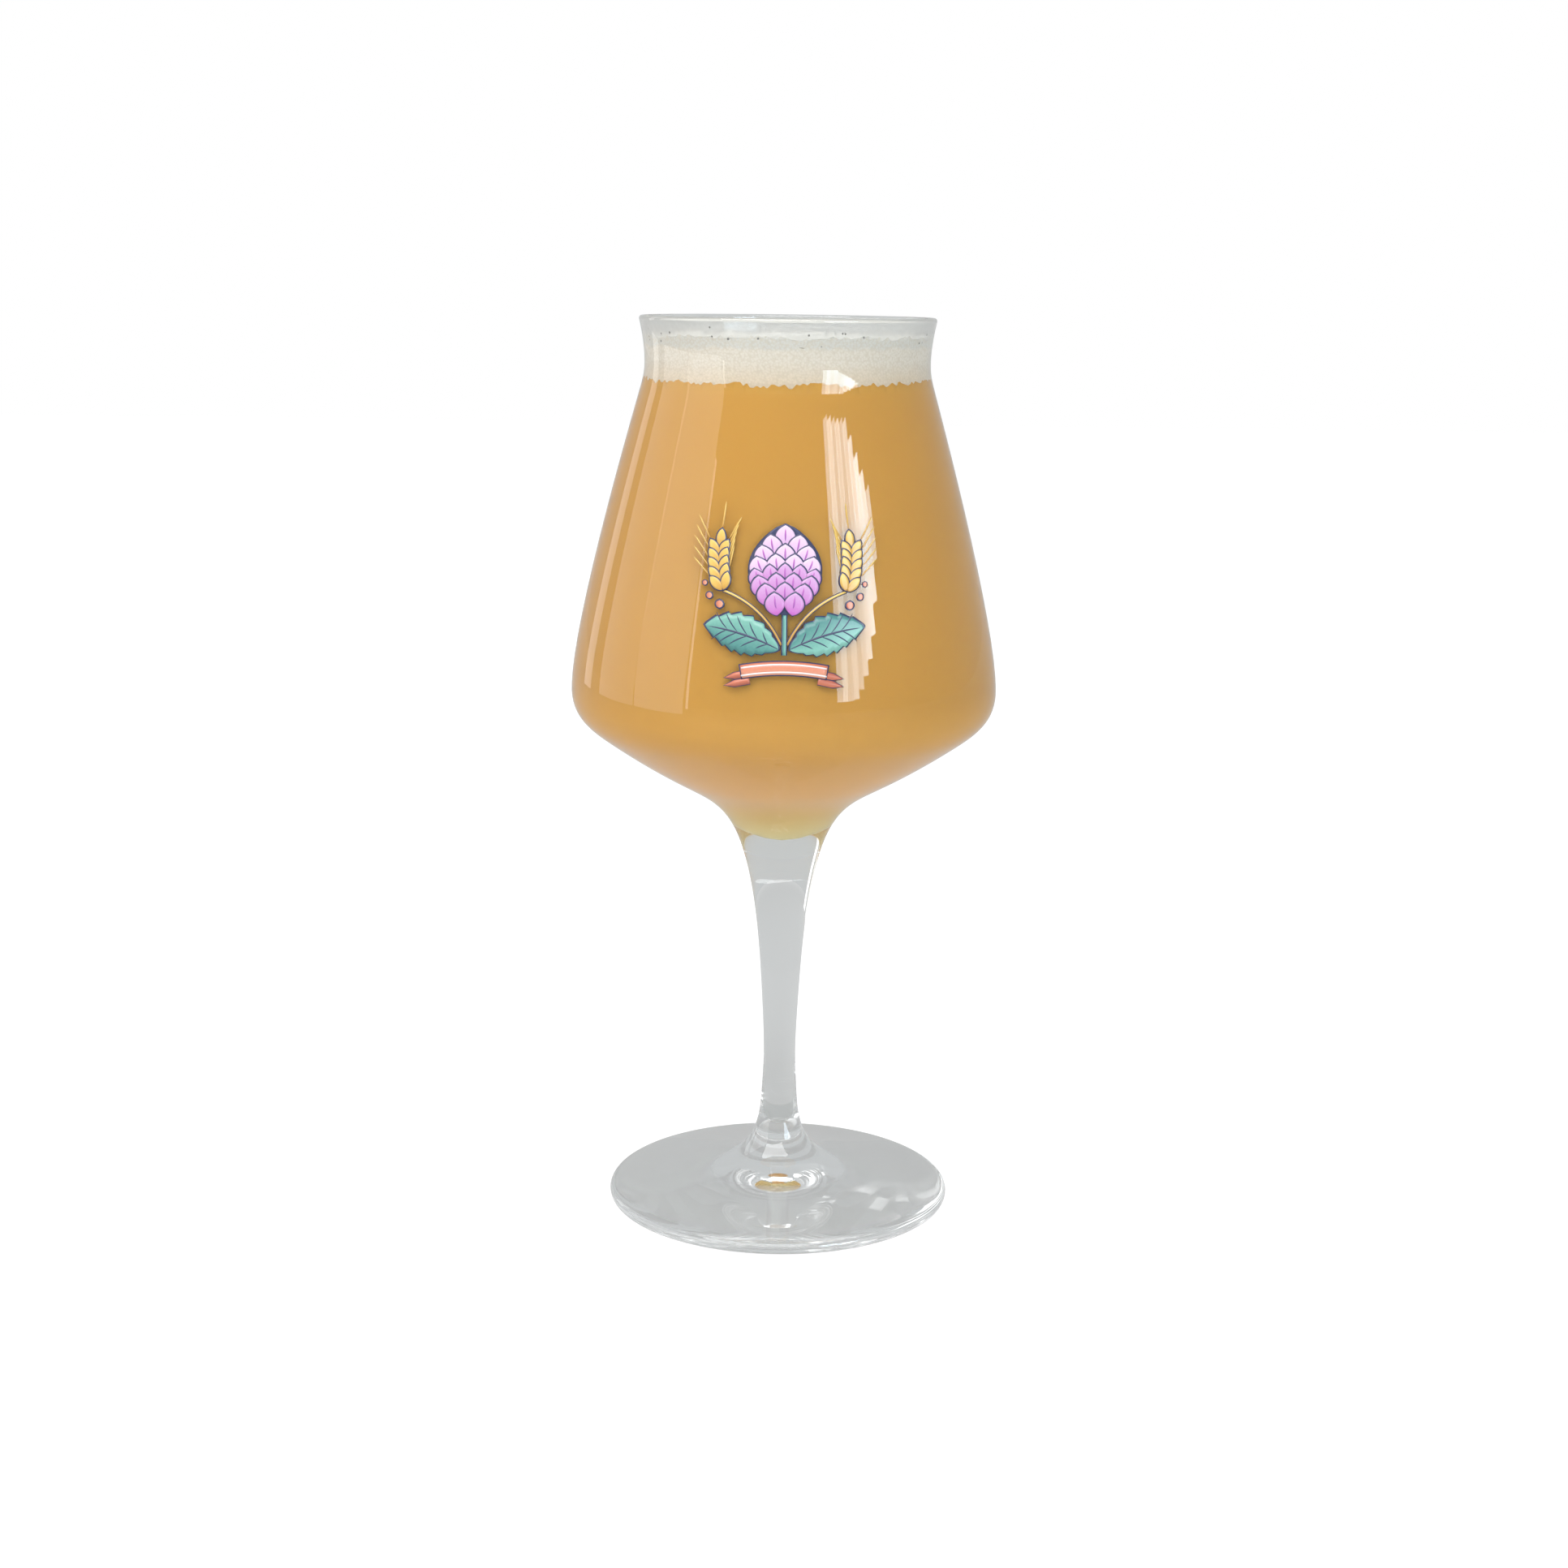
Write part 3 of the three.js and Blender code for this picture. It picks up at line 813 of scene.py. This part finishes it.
for edge in (-STRIPE_PLACE, STRIPE_PLACE):
    start = (ribbon_left + OUTLINE, ribbon_ends + edge)
    end = (ribbon_right - OUTLINE, ribbon_ends + edge)
    ink(ribbon, bowed(start, end, ribbon_bulge), even(STRIPE_WIDTH), 4, 2, 24, 1)
ribbon_inks = [navy_ink, coral_ink, cream_ink, tail_ink]
add_print(ribbon, "print_ribbon_band", ribbon_inks, ["print_ribbon"])


# Stage: a plain pale floor, white to the camera and pale grey where it is seen in or through glass.
# In glass it is painted darker close to the glass, a painted shade around the foot, and nears the level of
# the room far away; it keeps a soft shadow.
FLOOR_HALF = 3.0
FLOOR_COLOR = (0.9, 0.9, 0.9, 1.0)
FLOOR_WHITE = 1.12
FLOOR_DROP = 0.2 * MM
# Near level: painted shade, a darker glow on the floor close to the glass than far away.
FLOOR_NEAR_PAINTED_SHADE = 0.45
FLOOR_FAR = 0.65
NEAR_REACH = 0.3
FAR_REACH = 2.6
FLOOR_MIX = 0.8

floor = bmesh.new()
bmesh.ops.create_grid(floor, x_segments=1, y_segments=1, size=FLOOR_HALF)
bmesh.ops.translate(floor, verts=floor.verts, vec=(0, 0, -FLOOR_DROP))
floor_mesh = bpy.data.meshes.new("floor")
floor.to_mesh(floor_mesh)
floor.free()
floor_piece = bpy.data.objects.new("floor", floor_mesh)
bpy.context.collection.objects.link(floor_piece)
floor_material, tree, shader = new_material("pale_floor")
shader.inputs["Base Color"].default_value = FLOOR_COLOR
shader.inputs["Roughness"].default_value = 0.8
path = add_node(tree, "ShaderNodeLightPath")
in_glass = add_node(tree, "ShaderNodeMath")
in_glass.operation = "MAXIMUM"
seen = add_node(tree, "ShaderNodeMath")
seen.operation = "MAXIMUM"
plain = add_node(tree, "ShaderNodeMath")
plain.operation = "MULTIPLY"
plain.inputs[1].default_value = FLOOR_MIX
direct = add_node(tree, "ShaderNodeMath")
direct.operation = "LESS_THAN"
direct.inputs[1].default_value = 0.5
weight = add_node(tree, "ShaderNodeMath")
weight.operation = "MULTIPLY"
place = add_node(tree, "ShaderNodeTexCoord")
away = add_node(tree, "ShaderNodeVectorMath")
away.operation = "LENGTH"
pale = add_node(tree, "ShaderNodeMapRange", From_Min=NEAR_REACH, From_Max=FAR_REACH,
                To_Min=FLOOR_NEAR_PAINTED_SHADE, To_Max=FLOOR_FAR)
level = add_node(tree, "ShaderNodeMapRange", To_Max=FLOOR_WHITE)
white = add_node(tree, "ShaderNodeEmission")
mix = add_node(tree, "ShaderNodeMixShader")
tree.links.new(path.outputs["Is Glossy Ray"], in_glass.inputs[0])
tree.links.new(path.outputs["Is Transmission Ray"], in_glass.inputs[1])
tree.links.new(path.outputs["Is Camera Ray"], seen.inputs[0])
tree.links.new(in_glass.outputs["Value"], seen.inputs[1])
tree.links.new(seen.outputs["Value"], plain.inputs[0])
tree.links.new(path.outputs["Diffuse Depth"], direct.inputs[0])
tree.links.new(plain.outputs["Value"], weight.inputs[0])
tree.links.new(direct.outputs["Value"], weight.inputs[1])
tree.links.new(place.outputs["Object"], away.inputs[0])
tree.links.new(away.outputs["Value"], pale.inputs["Value"])
tree.links.new(path.outputs["Is Camera Ray"], level.inputs["Value"])
tree.links.new(pale.outputs["Result"], level.inputs["To Min"])
tree.links.new(level.outputs["Result"], white.inputs["Strength"])
tree.links.new(weight.outputs["Value"], mix.inputs["Fac"])
tree.links.new(shader.outputs["BSDF"], mix.inputs[1])
tree.links.new(white.outputs["Emission"], mix.inputs[2])
tree.links.new(mix.outputs["Shader"], tree.nodes["Material Output"].inputs["Surface"])
floor_material.cycles.emission_sampling = "NONE"
floor_mesh.materials.append(floor_material)


# Light: an even pale room with a soft ceiling light, and a broad window of several panes on the left.
# The lamps stand for panes, so each is given by its bearing, size and brightness.
ROOM_LEVEL = 0.6
ROOM_COLOR = (0.97, 0.99, 1.0, 1.0)
LAMP_AIM = 0.15
LAMP_FACTOR = 4

world = bpy.data.worlds.new("room")
bpy.context.scene.world = world
world.use_nodes = True
tree = world.node_tree
room = tree.nodes["Background"]
path = add_node(tree, "ShaderNodeLightPath")
hue = add_node(tree, "ShaderNodeMix")
hue.data_type = "RGBA"
hue.inputs[6].default_value = ROOM_COLOR
hue.inputs[7].default_value = (1, 1, 1, 1)
level = add_node(tree, "ShaderNodeMapRange", To_Min=ROOM_LEVEL, To_Max=1.0)
tree.links.new(path.outputs["Is Camera Ray"], level.inputs["Value"])
tree.links.new(path.outputs["Is Camera Ray"], hue.inputs[0])
tree.links.new(hue.outputs[2], room.inputs["Color"])
tree.links.new(level.outputs["Result"], room.inputs["Strength"])


def soft_light(name, azimuth, elevation, distance, width, height, radiance,
               color=(1, 1, 1), through_glass=True):
    """An area lamp that faces the glass; azimuth 0 is the camera's side and right is positive."""
    lamp = bpy.data.lights.new(name, "AREA")
    lamp.shape = "RECTANGLE"
    lamp.size = width
    lamp.size_y = height
    lamp.energy = radiance * width * height * LAMP_FACTOR
    lamp.color = color
    holder = bpy.data.objects.new(name, lamp)
    bpy.context.collection.objects.link(holder)
    bearing = Euler((math.radians(-elevation), 0, math.radians(azimuth))).to_matrix()
    aim = Vector((0, 0, LAMP_AIM))
    holder.location = aim + bearing @ Vector((0, -distance, 0))
    holder.rotation_euler = (aim - holder.location).to_track_quat("-Z", "Y").to_euler()
    holder.visible_camera = False
    holder.visible_transmission = through_glass


soft_light("ceiling_light", azimuth=-18, elevation=58, distance=1.6, width=1.8, height=1.2, radiance=4.2)
soft_light("left_window", azimuth=-69, elevation=10, distance=1.2, width=0.69, height=1.1, radiance=1.15)
soft_light("left_far_window", azimuth=-100, elevation=10, distance=1.2, width=0.64, height=1.1, radiance=0.8)
soft_light("left_slit", azimuth=-129, elevation=10, distance=1.2, width=0.2, height=1.1, radiance=0.8)
soft_light("left_pane", azimuth=-51, elevation=10, distance=1.2, width=0.03, height=0.6, radiance=2.5)


# Right window: a half-drawn curtain lets in cool daylight between upright folds of different brightness.
# Its lower edge rises slantwise to the right, and its upper edge droops there. Angles are in degrees.
SKY_COLOR = (0.72, 0.88, 1.0)
FOLD_START = 29.5
FOLD_TURN = 3
FOLD_DISTANCE = 2.4
CURTAIN_FOOT = 2
CURTAIN_HEAD = 28
SLANT_START = 38
SLANT = 0.85
DROOP_START = 30
DROOP = 0.1
END_DROOP_START = 45
END_DROOP = 0.3
FOLDS = (5.0, 8.0, 5.5, 7.5, 5.5, 7.5, 9.5, 12.0, 11.0, 7.0)
fold_width = 2 * FOLD_DISTANCE * math.tan(math.radians(FOLD_TURN / 2))
for number, radiance in enumerate(FOLDS):
    azimuth = FOLD_START + FOLD_TURN * number
    low = CURTAIN_FOOT + max(0, azimuth - SLANT_START) * SLANT
    droop = max(0, azimuth - DROOP_START) * DROOP + max(0, azimuth - END_DROOP_START) * END_DROOP
    high = CURTAIN_HEAD - droop
    fold_height = 2 * FOLD_DISTANCE * math.tan(math.radians((high - low) / 2))
    soft_light(f"right_fold_{number}", azimuth, (low + high) / 2, FOLD_DISTANCE,
               fold_width, fold_height, radiance, SKY_COLOR, through_glass=False)

# Light goes to and fro many times inside solid glass
light_paths = bpy.context.scene.cycles
light_paths.glossy_bounces = 48
light_paths.transmission_bounces = 48
light_paths.transparent_max_bounces = 32
light_paths.max_bounces = 64


# Camera: a little above the rim, looking down on the foot, with the photograph's slight tilt.
# Its focal length is given in pixels of the photograph's frame.
IMAGE_PIXELS = 1932
FOCAL_PIXELS = 2945
CAMERA_PLACE = (0.0003, -0.5134, 0.2022)
CAMERA_PITCH = 11.86
CAMERA_ROLL = 0.69
SENSOR_WIDTH = 36

camera = bpy.data.cameras.new("camera")
camera.sensor_width = SENSOR_WIDTH
camera.lens = SENSOR_WIDTH * FOCAL_PIXELS / IMAGE_PIXELS
camera.clip_start = 0.01
viewer = bpy.data.objects.new("camera", camera)
bpy.context.collection.objects.link(viewer)
pitch = Matrix.Rotation(math.radians(90 - CAMERA_PITCH), 4, "X")
roll = Matrix.Rotation(math.radians(CAMERA_ROLL), 4, "Z")
viewer.matrix_world = Matrix.Translation(CAMERA_PLACE) @ pitch @ roll
bpy.context.scene.camera = viewer
bpy.context.scene.view_settings.view_transform = "Standard"
